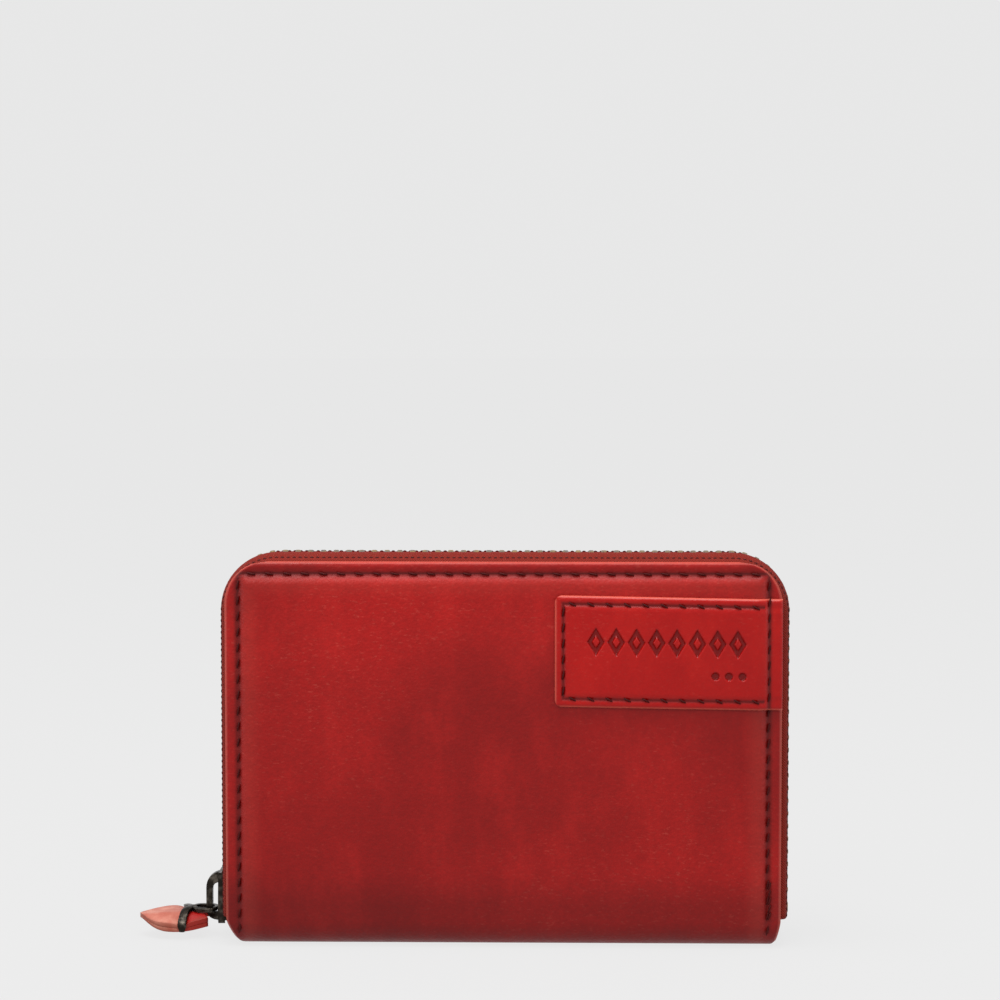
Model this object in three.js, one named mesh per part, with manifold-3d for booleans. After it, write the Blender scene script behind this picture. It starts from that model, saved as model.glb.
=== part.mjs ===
import * as THREE from "three";
import { mergeVertices } from "three/addons/utils/BufferGeometryUtils.js";
import Module from "manifold-3d";

// A zip-around leather purse, standing on its spine. Millimetres, +Z up. X runs along the spine,
// -Y is the front cover's side, and the origin is the middle of the spine's flat underside.
// Both covers are built of the same layers, given as distances from the middle plane, y = 0.

// Overall sizes
const COVER_WIDTH = 124;
const COVER_HEIGHT = 87; // from the underside of the spine to the covers' top edge
const THICKNESS = 25; // outside of one cover to outside of the other
const CORNER_RADIUS = 9.5; // the covers' two top corners
const GAP = 0.3; // clearance between neighbouring layers

// Layers of a cover, from the outside in
const HIDE = 1.4;
const BOARD = 0.7;
const LINING = 0.5;
const LINING_INSET = 0.6; // the lining's edge, in from the cover's edge

// Spine
const SPINE_HEIGHT = 6; // also the outer radius where the hide turns up into the covers
const CORNER_CUT_LEFT = 3.6; // how far the spine's end slants in at its foot
const CORNER_CUT_RIGHT = 1.8;
const SPINE_LINING_INSET = 5;

// Label patch on the front cover
const LABEL_WIDTH = 50.7;
const LABEL_HEIGHT = 24.9;
const LABEL_TOP_DROP = 7.7; // the label's top edge, below the cover's top edge
const LABEL_THICKNESS = 1.1;
const LABEL_RADIUS = 1.3;

// Card slots, three on each cover
const SLOT_COUNT = 3;
const SLOT_WIDTH = 106;
const SLOT_PITCH = 13; // one slot's top edge to the next
const SLOT_OVERLAP = 4; // how far a strip runs on behind the one below it
const SLOT_LEATHER = 0.5;
const SLOT_TOP_DROP = 24; // the highest slot's edge, below the cover's top edge
const SLOT_FOOT = 9; // where the lowest strip ends above the base

// Zip round three sides
const TAPE = 0.7;
const TAPE_PROUD = 1.5; // the tape's wall stands this far outside the covers' side edges
const TAPE_TOP_PROUD = 0.5; // and this far above their top edge
const SEAM_WIDTH = 4.8; // tape sewn in between hide and lining
const TOOTH_PITCH = 2.9;
const TOOTH_LENGTH = 1.5; // along the chain
const TOOTH_PROUD = 0.8; // above and below the tape
const CHAIN_HALF = 3.1; // the closed chain's half width
const CHAIN_SLIT = 0.9; // half the slit between the two rows, which the slider's post runs in
const BEAD_WIDTH = 0.5;
const STOP_LENGTH = 2.5;
const FRONT_ROW_LIFT = 4; // the front row starts higher, clear of the slider as the back opens

// Slider of the outer zip
const RUN = 0.25; // running clearance of the zips' sliders
const SLIDER_FOOT = 3.4;
const SLIDER_LENGTH = 11.6;
const SLIDER_PLATE = 0.75;
const SLIDER_RIM = 0.9;
const SLIDER_POST = 1.2;
const BRIDGE_REACH = 3; // how far the bridge stands out of the slider
const BRIDGE_BAR = 1.4;
const BRIDGE_WIDTH = 2.4;

// Puller: a leather leaf held by a metal clip that hangs in the slider's bridge
const PULLER_PIVOT_HEIGHT = 6.3;
const CLIP_THICKNESS = 0.9;
const CLIP_EYE = 5.5; // from the pivot to the end of the eye
const CLIP_LENGTH = 8.2;
const CLIP_CLAW = 1.5; // the claw's length along the leaf
const LEAF_START = 3.5; // from the pivot
const LEAF_LENGTH = 14;
const LEAF_WIDTH = 12;
const LEAF_ROOT_WIDTH = 8.4;
const LEAF_THICKNESS = 2;

// Coin pocket in the middle
const POCKET_WIDTH = 100;
const POCKET_INSIDE = 4.6;
const POCKET_PANEL = 0.7;
const POCKET_TOP_DROP = 21; // below the covers' top edge
const POCKET_GUSSET = 0.6;
const COIN_TAPE = 0.5;
const COIN_TAPE_HEIGHT = 9;
const COIN_CHAIN_HALF = 2.2;
const COIN_CHAIN_HEIGHT = 1.8;
const COIN_TOOTH_PITCH = 2.2;
const COIN_TOOTH_LENGTH = 1.1;
const COIN_CHAIN_INSET = 4; // the chain's ends, in from the pocket's ends
const COIN_SLIDER_LENGTH = 7;
const COIN_SLIDER_PLATE = 0.7;
const COIN_SLIDER_X = 40;
const COIN_POST = 1;
const COIN_BRIDGE_WIDTH = 1.6;
const COIN_BRIDGE_HOLE = 1.4; // height of the hole under the bridge
const COIN_BRIDGE_BAR = 0.8;
const COIN_PULLER_LENGTH = 13;
const COIN_PULLER_WIDTH = 4.4;
const COIN_PULLER_THICKNESS = 0.7;

// Accordion gussets between the coin pocket and the covers
const GUSSET = 0.4;
const GUSSET_OUT = 57; // distance of the open ends from the middle of the purse
const GUSSET_DEPTH = 16; // how far the fold reaches in
const GUSSET_TOP_DROP = 22;

// Places that follow from the sizes above, as distances from the middle plane
const coverOuter = THICKNESS / 2;
const coverInner = coverOuter - HIDE;
const boardOuter = coverInner - GAP;
const boardInner = boardOuter - BOARD;
const liningOuter = boardInner - GAP;
const liningInner = liningOuter - LINING;
const slotsOuter = liningInner - GAP;
const slotLean = (SLOT_LEATHER + GAP) / SLOT_PITCH;
const slotsInner = slotsOuter - slotLean * (SLOT_PITCH + SLOT_OVERLAP) - SLOT_LEATHER;
const pocketInner = POCKET_INSIDE / 2;
const pocketOuter = pocketInner + POCKET_PANEL;

const sideX = COVER_WIDTH / 2;
const coverFoot = SPINE_HEIGHT + GAP;
const tapeX = sideX + TAPE_PROUD; // outer face of the tape's wall
const tapeTop = COVER_HEIGHT + TAPE_TOP_PROUD;
const tapeEdge = CHAIN_HALF + GAP; // where the tape stops short of the chain
const chainX = tapeX - TAPE / 2;
const toothThickness = TAPE + 2 * TOOTH_PROUD;
const pocketFoot = HIDE + GAP + LINING + GAP;
const pocketTop = COVER_HEIGHT - POCKET_TOP_DROP;
const arcSteps = 8;

const LEATHER = { color: 0x96221e, roughness: 0.45, metalness: 0 };
const LABEL_LEATHER = { color: 0xb0201d, roughness: 0.35, metalness: 0 };
const PULLER_LEATHER = { color: 0xc0564c, roughness: 0.5, metalness: 0 };
const INNER_LEATHER = { color: 0x8c2420, roughness: 0.55, metalness: 0 };
const CLOTH = { color: 0x4a1512, roughness: 0.9, metalness: 0 };
const TAPE_CLOTH = { color: 0x6e241c, roughness: 0.85, metalness: 0 };
const CARD_BOARD = { color: 0xb8a888, roughness: 0.9, metalness: 0 };
const BRASS = { color: 0x8a7448, roughness: 0.35, metalness: 1 };
const GUNMETAL = { color: 0x2e2a26, roughness: 0.35, metalness: 1 };

const wasm = await Module();
wasm.setup();

const purse = new THREE.Group();

function piece(name, geometry, finish) {
  const mesh = new THREE.Mesh(geometry, new THREE.MeshStandardMaterial(finish));
  mesh.name = name;
  purse.add(mesh);
}

function solidOf(geometry) {
  const bare = geometry.clone();
  bare.deleteAttribute("normal");
  bare.deleteAttribute("uv");
  const merged = mergeVertices(bare, 1e-4);
  const vertProperties = new Float32Array(merged.attributes.position.array);
  const triVerts = new Uint32Array(merged.index.array);
  return new wasm.Manifold(new wasm.Mesh({ numProp: 3, vertProperties, triVerts }));
}

function geometryOf(solid) {
  const mesh = solid.getMesh();
  const geometry = new THREE.BufferGeometry();
  geometry.setAttribute("position", new THREE.BufferAttribute(mesh.vertProperties, 3));
  geometry.setIndex(new THREE.BufferAttribute(mesh.triVerts, 1));
  geometry.computeVertexNormals();
  return geometry;
}

function joined(geometries) {
  return geometryOf(geometries.map(solidOf).reduce((sum, part) => sum.add(part)));
}

// Extrudes an outline, whose repeated points are dropped first.
function extruded(outline, depth) {
  const points = outline.getPoints(arcSteps);
  const kept = points.filter((p, i) => p.distanceTo(points.at(i - 1)) > 1e-3);
  return new THREE.ExtrudeGeometry(new THREE.Shape(kept), { depth, bevelEnabled: false });
}

// An outline drawn in X and Z becomes a slab between two distances from the middle plane.
// side is -1 in front of that plane and 1 behind it.
function slab(outline, near, far, side) {
  const geometry = extruded(outline, far - near);
  geometry.rotateX(Math.PI / 2);
  return geometry.translate(0, side < 0 ? -near : far, 0);
}

// An outline drawn in X and Y becomes an upright prism.
function prism(outline, bottom, top) {
  return extruded(outline, top - bottom).translate(0, 0, bottom);
}

// An outline drawn in Y and Z becomes a bar along X.
function bar(outline, left, right) {
  const geometry = extruded(outline, right - left);
  geometry.rotateY(Math.PI / 2);
  geometry.rotateX(Math.PI / 2);
  return geometry.translate(left, 0, 0);
}

function box(x, y, z) {
  const geometry = new THREE.BoxGeometry(x[1] - x[0], y[1] - y[0], z[1] - z[0]);
  return geometry.translate((x[0] + x[1]) / 2, (y[0] + y[1]) / 2, (z[0] + z[1]) / 2);
}

function polygon(points) {
  return new THREE.Shape(points.map(([x, y]) => new THREE.Vector2(x, y)));
}

// The covers' outline: straight sides, two rounded top corners.
function arch(halfWidth, foot, top, radius) {
  const outline = new THREE.Shape();
  outline.moveTo(-halfWidth, foot);
  outline.lineTo(-halfWidth, top - radius);
  outline.absarc(radius - halfWidth, top - radius, radius, Math.PI, Math.PI / 2, true);
  outline.absarc(halfWidth - radius, top - radius, radius, Math.PI / 2, 0, true);
  outline.lineTo(halfWidth, foot);
  return outline;
}

// The same outline hollowed into a band of the given width.
function archBand(halfWidth, foot, top, radius, width) {
  const outline = arch(halfWidth, foot, top, radius);
  const inner = halfWidth - width;
  const bend = radius - width;
  outline.lineTo(inner, foot);
  outline.absarc(halfWidth - radius, top - radius, bend, 0, Math.PI / 2, false);
  outline.absarc(radius - halfWidth, top - radius, bend, Math.PI / 2, Math.PI, false);
  outline.lineTo(-inner, foot);
  return outline;
}

// The hide round the spine: a flat underside with quarter-round edges that meet the covers.
function channel(outer, foot, radius, wall) {
  const outline = new THREE.Shape();
  const centre = outer - radius;
  outline.absarc(-centre, foot + radius, radius, Math.PI, 1.5 * Math.PI, false);
  outline.absarc(centre, foot + radius, radius, 1.5 * Math.PI, 2 * Math.PI, false);
  outline.absarc(centre, foot + radius, radius - wall, 2 * Math.PI, 1.5 * Math.PI, true);
  outline.absarc(-centre, foot + radius, radius - wall, 1.5 * Math.PI, Math.PI, true);
  return outline;
}

function spineLeather() {
  const hide = solidOf(bar(channel(coverOuter, 0, SPINE_HEIGHT, HIDE), -sideX, sideX));
  const front = polygon([
    [-sideX + CORNER_CUT_LEFT, -1],
    [sideX - CORNER_CUT_RIGHT, -1],
    [sideX - CORNER_CUT_RIGHT, 0],
    [sideX, SPINE_HEIGHT],
    [sideX, SPINE_HEIGHT + 1],
    [-sideX, SPINE_HEIGHT + 1],
    [-sideX, SPINE_HEIGHT],
    [-sideX + CORNER_CUT_LEFT, 0],
  ]);
  const ends = solidOf(slab(front, -THICKNESS, THICKNESS, 1));
  return geometryOf(hide.intersect(ends));
}

function spineLining() {
  const reach = sideX - SPINE_LINING_INSET;
  const radius = SPINE_HEIGHT - HIDE - GAP;
  return bar(channel(liningOuter, HIDE + GAP, radius, LINING), -reach, reach);
}

// The tape stands on edge round the gap between the covers and turns in under the hide.
function zipTape(side) {
  const radius = CORNER_RADIUS;
  const wall = archBand(tapeX, coverFoot, tapeTop, radius, TAPE);
  const flange = archBand(tapeX, coverFoot, tapeTop, radius, SEAM_WIDTH + TAPE_PROUD);
  return joined([
    slab(wall, tapeEdge, boardOuter, side),
    slab(flange, boardInner, boardOuter, side),
  ]);
}

// A row of teeth starts just above the parked slider.
function rowFoot(side) {
  return SLIDER_FOOT + SLIDER_LENGTH + GAP + (side < 0 ? FRONT_ROW_LIFT : 0);
}

// The line that a row follows, from the slider over the top to the stop on the right.
function chainLine(side) {
  const line = new THREE.Path();
  const radius = CORNER_RADIUS - TAPE / 2;
  const top = tapeTop - TAPE / 2;
  line.moveTo(-chainX, rowFoot(side));
  line.lineTo(-chainX, top - radius);
  line.absarc(radius - chainX, top - radius, radius, Math.PI, Math.PI / 2, true);
  line.lineTo(chainX - radius, top);
  line.absarc(chainX - radius, top - radius, radius, Math.PI / 2, 0, true);
  line.lineTo(chainX, coverFoot + STOP_LENGTH + GAP);
  return line;
}

// One row of teeth on the bead that runs along the tape's edge. The rows are half a pitch apart.
function zipTeeth(side) {
  const line = chainLine(side);
  const length = line.getLength();
  const foot = coverFoot + STOP_LENGTH + GAP;
  const bead = archBand(tapeX, foot, tapeTop, CORNER_RADIUS, TAPE);
  const beadTrim = box([-tapeX - 1, 0], [-THICKNESS, THICKNESS], [0, rowFoot(side)]);
  let row = solidOf(slab(bead, CHAIN_HALF - BEAD_WIDTH, CHAIN_HALF, side));
  row = row.subtract(solidOf(beadTrim));
  const first = TOOTH_LENGTH / 2 + (side < 0 ? 0 : TOOTH_PITCH / 2);
  const depth = CHAIN_HALF - CHAIN_SLIT;
  for (let s = first; s < length - TOOTH_LENGTH / 2; s += TOOTH_PITCH) {
    const place = line.getPointAt(s / length);
    const ahead = line.getTangentAt(s / length);
    const tooth = new THREE.BoxGeometry(TOOTH_LENGTH, depth, toothThickness);
    tooth.rotateY(-Math.atan2(ahead.y, ahead.x));
    tooth.translate(place.x, side * (CHAIN_SLIT + depth / 2), place.y);
    row = row.add(solidOf(tooth));
  }
  return geometryOf(row);
}

function endStop(side) {
  const half = toothThickness / 2;
  const y = [side * CHAIN_SLIT, side * CHAIN_HALF].sort((a, b) => a - b);
  return box([chainX - half, chainX + half], y, [coverFoot, coverFoot + STOP_LENGTH]);
}

// A strip of slot leather leans away from the lining towards its top edge, so that the next strip
// down lies over its foot. The lowest strip runs on straight down.
function cardSlot(index, side) {
  const top = COVER_HEIGHT - SLOT_TOP_DROP - index * SLOT_PITCH;
  const knee = top - SLOT_PITCH - SLOT_OVERLAP;
  const foot = index === SLOT_COUNT - 1 ? SLOT_FOOT : knee - 1;
  const lean = slotLean * (top - knee);
  const profile = polygon([
    [side * slotsOuter, foot],
    [side * slotsOuter, knee],
    [side * (slotsOuter - lean), top],
    [side * (slotsOuter - lean - SLOT_LEATHER), top],
    [side * (slotsOuter - SLOT_LEATHER), knee],
    [side * (slotsOuter - SLOT_LEATHER), foot],
  ]);
  return bar(profile, -SLOT_WIDTH / 2, SLOT_WIDTH / 2);
}

function labelPatch() {
  const top = COVER_HEIGHT - LABEL_TOP_DROP;
  const foot = top - LABEL_HEIGHT;
  const left = sideX - LABEL_WIDTH;
  const r = LABEL_RADIUS;
  const outline = new THREE.Shape();
  outline.moveTo(sideX, foot);
  outline.lineTo(sideX, top);
  outline.absarc(left + r, top - r, r, Math.PI / 2, Math.PI, false);
  outline.absarc(left + r, foot + r, r, Math.PI, 1.5 * Math.PI, false);
  return slab(outline, coverOuter + GAP, coverOuter + GAP + LABEL_THICKNESS, -1);
}

// Everything that belongs to one cover: hide, board, lining, card slots and half of the zip.
function cover(name, side) {
  const hide = arch(sideX, coverFoot, COVER_HEIGHT, CORNER_RADIUS);
  const boardInset = SEAM_WIDTH + TAPE_PROUD + GAP;
  const board = arch(
    tapeX - boardInset,
    coverFoot,
    tapeTop - boardInset,
    CORNER_RADIUS - boardInset,
  );
  const lining = arch(
    sideX - LINING_INSET,
    coverFoot,
    COVER_HEIGHT - LINING_INSET - TAPE,
    CORNER_RADIUS - LINING_INSET,
  );
  piece(name + "_cover_leather", slab(hide, coverInner, coverOuter, side), LEATHER);
  piece(name + "_stiffener", slab(board, boardInner, boardOuter, side), CARD_BOARD);
  piece(name + "_lining", slab(lining, liningInner, liningOuter, side), CLOTH);
  for (let i = 0; i < SLOT_COUNT; i += 1)
    piece(name + "_card_slot_" + (i + 1), cardSlot(i, side), INNER_LEATHER);
  piece(name + "_zip_tape", zipTape(side), TAPE_CLOTH);
  piece(name + "_zip_teeth", zipTeeth(side), BRASS);
  piece(name + "_zip_end_stop", endStop(side), BRASS);
}

// The slider's section: two plates joined by the post, with rims that close over the chain and
// leave a slot for the tape on each side.
function sliderSection() {
  const inside = toothThickness / 2 + RUN;
  const outside = inside + SLIDER_PLATE;
  const slot = TAPE / 2 + RUN;
  const rim = CHAIN_HALF + GAP;
  const edge = rim + SLIDER_RIM;
  const post = SLIDER_POST / 2;
  const quarter = [
    [outside, edge],
    [slot, edge],
    [slot, rim],
    [inside, rim],
    [inside, post],
  ];
  const turned = (sx, sy) => quarter.map(([x, y]) => [sx * x - chainX, sy * y]);
  return polygon([
    ...turned(1, 1),
    ...turned(-1, 1).reverse(),
    ...turned(-1, -1),
    ...turned(1, -1).reverse(),
  ]);
}

const sliderFace = -chainX - toothThickness / 2 - RUN - SLIDER_PLATE;
const sliderTop = SLIDER_FOOT + SLIDER_LENGTH;
const pivotX = sliderFace - (BRIDGE_REACH - BRIDGE_BAR) / 2;

// The bridge is a bow that stands out of the slider's face and holds the puller's clip.
function bridge() {
  const root = sliderFace + SLIDER_PLATE / 2;
  const outer = sliderFace - BRIDGE_REACH;
  const inner = outer + BRIDGE_BAR;
  const foot = SLIDER_FOOT + 0.2;
  const holeFoot = PULLER_PIVOT_HEIGHT - CLIP_THICKNESS;
  const holeTop = sliderTop - 3.6;
  const outline = new THREE.Shape();
  outline.moveTo(root, foot);
  outline.quadraticCurveTo(outer, foot, outer, foot + 2.6);
  outline.lineTo(outer, sliderTop - 4);
  outline.quadraticCurveTo(outer, sliderTop - 0.8, root, sliderTop - 0.1);
  outline.lineTo(root, holeTop + 1);
  outline.quadraticCurveTo(inner, holeTop + 1, inner, holeTop - 1);
  outline.lineTo(inner, holeFoot);
  outline.lineTo(root, holeFoot);
  return slab(outline, -BRIDGE_WIDTH / 2, BRIDGE_WIDTH / 2, 1);
}

function sliderBody() {
  return joined([prism(sliderSection(), SLIDER_FOOT, sliderTop), bridge()]);
}

// The leaf's half width at a distance from the pivot: it swells from its root and ends round.
function leafHalfWidth(distance) {
  const t = (distance - LEAF_START) / LEAF_LENGTH;
  const root = LEAF_ROOT_WIDTH / 2;
  const swell = (LEAF_WIDTH / 2 - root) * Math.sin(Math.min(1, t / 0.4) * (Math.PI / 2));
  const tip = Math.sqrt(Math.max(0, 1 - Math.max(0, (t - 0.4) / 0.6) ** 2));
  return (root + swell) * tip;
}

function pullerLeather() {
  const steps = 14;
  const distances = Array.from({ length: steps }, (_, i) => LEAF_START + (LEAF_LENGTH * i) / steps);
  const near = distances.map((d) => [pivotX - d, -leafHalfWidth(d)]);
  const far = distances.map((d) => [pivotX - d, leafHalfWidth(d)]).reverse();
  const tip = [pivotX - LEAF_START - LEAF_LENGTH, 0];
  const top = PULLER_PIVOT_HEIGHT - CLIP_THICKNESS / 2 - GAP;
  return prism(polygon([...near, tip, ...far]), top - LEAF_THICKNESS, top);
}

// The clip's eye runs round the bridge's bar. Its stem lies on the leaf and ends in two claws.
function pullerClip() {
  const half = CLIP_THICKNESS / 2;
  const z = [PULLER_PIVOT_HEIGHT - half, PULLER_PIVOT_HEIGHT + half];
  const hole = BRIDGE_WIDTH / 2 + GAP;
  const arm = hole + CLIP_THICKNESS;
  const clawAt = CLIP_LENGTH - CLIP_CLAW;
  const widest = Math.max(leafHalfWidth(clawAt), leafHalfWidth(CLIP_LENGTH)) + GAP;
  const x = (from, to) => [pivotX - to, pivotX - from];
  const clawZ = [z[0] - GAP - LEAF_THICKNESS, z[1]];
  const lip = widest + CLIP_THICKNESS;
  return joined([
    box(x(-half, half), [-arm, arm], z),
    box(x(-half, CLIP_EYE + half), [-arm, -hole], z),
    box(x(-half, CLIP_EYE + half), [hole, arm], z),
    box(x(CLIP_EYE, CLIP_LENGTH), [-arm, arm], z),
    box(x(clawAt, CLIP_LENGTH), [-lip, lip], z),
    box(x(clawAt, CLIP_LENGTH), [-lip, -widest], clawZ),
    box(x(clawAt, CLIP_LENGTH), [widest, lip], clawZ),
  ]);
}

// Coin pocket: two panels on a strip that closes its ends and foot, and a zip along its top.
function pocketPanel(side) {
  const half = POCKET_WIDTH / 2;
  const outline = polygon([
    [-half, pocketFoot],
    [half, pocketFoot],
    [half, pocketTop],
    [-half, pocketTop],
  ]);
  return slab(outline, pocketInner, pocketOuter, side);
}

function pocketGusset() {
  const half = POCKET_WIDTH / 2;
  const w = POCKET_GUSSET;
  const strip = polygon([
    [-half, pocketTop],
    [-half, pocketFoot],
    [half, pocketFoot],
    [half, pocketTop],
    [half - w, pocketTop],
    [half - w, pocketFoot + w],
    [w - half, pocketFoot + w],
    [w - half, pocketTop],
  ]);
  return slab(strip, GAP - pocketInner, pocketInner - GAP, 1);
}

const coinTapeTop = pocketTop + 1;
const coinChainFoot = coinTapeTop + GAP;
const coinChainTop = coinChainFoot + COIN_CHAIN_HEIGHT;
const coinChainEnd = POCKET_WIDTH / 2 - COIN_CHAIN_INSET;

function coinTape(side) {
  const outer = pocketInner - GAP;
  const y = [side * (outer - COIN_TAPE), side * outer].sort((a, b) => a - b);
  const reach = POCKET_WIDTH / 2 - POCKET_GUSSET - GAP;
  return box([-reach, reach], y, [coinTapeTop - COIN_TAPE_HEIGHT, coinTapeTop]);
}

// A comb: the bead along the tape's edge with the teeth pointing at the other row.
function coinTeeth(side) {
  const back = side * COIN_CHAIN_HALF;
  const root = side * (COIN_CHAIN_HALF - BEAD_WIDTH);
  const tip = side * CHAIN_SLIT;
  const points = [[-coinChainEnd, root], [-coinChainEnd, back], [coinChainEnd, back]];
  points.push([coinChainEnd, root]);
  const first = COIN_TOOTH_PITCH + (side < 0 ? 0 : COIN_TOOTH_PITCH / 2);
  for (let s = first; s < 2 * coinChainEnd - COIN_TOOTH_PITCH; s += COIN_TOOTH_PITCH) {
    const x = coinChainEnd - s;
    points.push([x + COIN_TOOTH_LENGTH / 2, root], [x + COIN_TOOTH_LENGTH / 2, tip]);
    points.push([x - COIN_TOOTH_LENGTH / 2, tip], [x - COIN_TOOTH_LENGTH / 2, root]);
  }
  return prism(polygon(points), coinChainFoot, coinChainTop);
}

const coinPlateFoot = coinChainTop + RUN;
const coinFace = coinPlateFoot + COIN_SLIDER_PLATE;
const coinPivotHeight = coinFace + COIN_BRIDGE_HOLE / 2;

function coinSlider() {
  const rim = COIN_CHAIN_HALF + RUN;
  const edge = rim + COIN_SLIDER_PLATE;
  const post = COIN_POST / 2;
  const foot = pocketInner - GAP - COIN_TAPE - RUN;
  const half = [
    [foot, coinChainFoot - RUN - COIN_SLIDER_PLATE],
    [foot, coinChainFoot - RUN],
    [post, coinChainFoot - RUN],
    [post, coinPlateFoot],
    [rim, coinPlateFoot],
    [rim, coinChainFoot + COIN_CHAIN_HEIGHT / 3],
    [edge, coinChainFoot + COIN_CHAIN_HEIGHT / 3],
    [edge, coinFace],
  ];
  const section = polygon([...half, ...half.map(([y, z]) => [-y, z]).reverse()]);
  const from = COIN_SLIDER_X - COIN_SLIDER_LENGTH / 2;
  const to = COIN_SLIDER_X + COIN_SLIDER_LENGTH / 2;
  const top = coinFace + COIN_BRIDGE_HOLE + COIN_BRIDGE_BAR;
  const bow = polygon([
    [from + 0.5, coinPlateFoot + 0.1],
    [from + 0.5, top - 0.8],
    [from + 1.3, top],
    [to - 1.3, top],
    [to - 0.5, top - 0.8],
    [to - 0.5, coinPlateFoot + 0.1],
    [to - 0.5 - COIN_BRIDGE_BAR, coinPlateFoot + 0.1],
    [to - 0.5 - COIN_BRIDGE_BAR, coinFace + COIN_BRIDGE_HOLE],
    [from + 0.5 + COIN_BRIDGE_BAR, coinFace + COIN_BRIDGE_HOLE],
    [from + 0.5 + COIN_BRIDGE_BAR, coinPlateFoot + 0.1],
  ]);
  return joined([
    bar(section, from, to),
    slab(bow, -COIN_BRIDGE_WIDTH / 2, COIN_BRIDGE_WIDTH / 2, 1),
  ]);
}

// A plain metal tab whose eye runs round the bridge of the coin pocket's slider.
function coinPuller() {
  const half = COIN_PULLER_THICKNESS / 2;
  const z = [coinPivotHeight - half, coinPivotHeight + half];
  const hole = COIN_BRIDGE_WIDTH / 2 + GAP;
  const arm = COIN_PULLER_WIDTH / 2;
  const eye = COIN_SLIDER_LENGTH / 2 + GAP;
  const x = (from, to) => [COIN_SLIDER_X - to, COIN_SLIDER_X - from];
  return joined([
    box(x(-half, half), [-arm, arm], z),
    box(x(-half, eye + half), [-arm, -hole], z),
    box(x(-half, eye + half), [hole, arm], z),
    box(x(eye, COIN_PULLER_LENGTH), [-arm, arm], z),
  ]);
}

// A gusset is one folded leaf, open to the side, between the coin pocket and a cover's slots.
function accordionGusset(side, end) {
  const near = pocketOuter + GAP;
  const far = slotsInner - GAP;
  const fold = GUSSET_OUT - GUSSET_DEPTH;
  const profile = polygon([
    [end * GUSSET_OUT, side * near],
    [end * fold, side * near],
    [end * fold, side * far],
    [end * GUSSET_OUT, side * far],
    [end * GUSSET_OUT, side * (far - GUSSET)],
    [end * (fold + GUSSET), side * (far - GUSSET)],
    [end * (fold + GUSSET), side * (near + GUSSET)],
    [end * GUSSET_OUT, side * (near + GUSSET)],
  ]);
  return prism(profile, coverFoot + GAP, COVER_HEIGHT - GUSSET_TOP_DROP);
}

piece("spine_leather", spineLeather(), LEATHER);
piece("spine_lining", spineLining(), CLOTH);
piece("coin_pocket_front", pocketPanel(-1), INNER_LEATHER);
piece("coin_pocket_back", pocketPanel(1), INNER_LEATHER);
piece("coin_pocket_gusset", pocketGusset(), CLOTH);
piece("coin_zip_tape_front", coinTape(-1), TAPE_CLOTH);
piece("coin_zip_tape_back", coinTape(1), TAPE_CLOTH);
piece("coin_zip_teeth_front", coinTeeth(-1), BRASS);
piece("coin_zip_teeth_back", coinTeeth(1), BRASS);
piece("coin_slider", coinSlider(), GUNMETAL);
piece("coin_puller", coinPuller(), GUNMETAL);
piece("gusset_front_left", accordionGusset(-1, -1), CLOTH);
piece("gusset_front_right", accordionGusset(-1, 1), CLOTH);
piece("gusset_back_left", accordionGusset(1, -1), CLOTH);
piece("gusset_back_right", accordionGusset(1, 1), CLOTH);
cover("front", -1);
piece("label_patch", labelPatch(), LABEL_LEATHER);
cover("back", 1);
piece("slider_body", sliderBody(), GUNMETAL);
piece("puller_clip", pullerClip(), GUNMETAL);
piece("puller_leather", pullerLeather(), PULLER_LEATHER);

export default purse;
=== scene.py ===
import math

import bmesh
import bpy
from mathutils import Matrix, Vector, noise


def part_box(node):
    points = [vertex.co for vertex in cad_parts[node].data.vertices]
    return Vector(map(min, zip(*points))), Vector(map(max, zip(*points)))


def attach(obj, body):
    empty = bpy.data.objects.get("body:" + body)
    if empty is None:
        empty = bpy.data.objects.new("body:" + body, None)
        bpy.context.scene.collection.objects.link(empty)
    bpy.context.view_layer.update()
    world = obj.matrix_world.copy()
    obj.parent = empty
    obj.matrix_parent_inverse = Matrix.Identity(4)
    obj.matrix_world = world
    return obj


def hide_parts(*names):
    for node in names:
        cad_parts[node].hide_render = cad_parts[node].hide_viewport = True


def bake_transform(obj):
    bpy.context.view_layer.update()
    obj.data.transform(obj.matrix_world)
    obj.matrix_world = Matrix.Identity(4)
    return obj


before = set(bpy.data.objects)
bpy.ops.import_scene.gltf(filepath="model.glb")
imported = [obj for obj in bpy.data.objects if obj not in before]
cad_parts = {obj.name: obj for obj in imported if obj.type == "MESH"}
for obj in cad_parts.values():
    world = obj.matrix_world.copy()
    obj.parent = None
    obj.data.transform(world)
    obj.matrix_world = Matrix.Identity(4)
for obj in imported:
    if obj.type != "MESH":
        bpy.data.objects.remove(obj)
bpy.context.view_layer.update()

# ---------------------------------------------------------------------------
# Where the purse is seen from: a long lens, a little above it and a little to its right.
# It stands in the lower half of the frame.

cover_low, cover_high = (Vector(c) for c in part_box("front_cover_leather"))
cover_half = cover_high.x
purse_top = cover_high.z
front_y = cover_low.y

distance = 0.66
frame_width = 0.2222  # what the lens takes in, side to side, at the front cover
tilt = math.radians(4.0)
turn = math.radians(1.2)
aim = Vector((-0.0009, front_y, 0.1008))
eye_line = Vector(
    (math.sin(turn) * math.cos(tilt), -math.cos(turn) * math.cos(tilt), math.sin(tilt))
)
camera_data = bpy.data.cameras.new("camera")
camera_data.sensor_width = 36
camera_data.lens = camera_data.sensor_width * distance / frame_width
camera = bpy.data.objects.new("camera", camera_data)
camera.location = aim + eye_line * distance
camera.rotation_euler = eye_line.to_track_quat("Z", "Y").to_euler()
bpy.context.collection.objects.link(camera)
scene = bpy.context.scene
scene.camera = camera
scene.view_settings.view_transform = "Standard"


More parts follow.
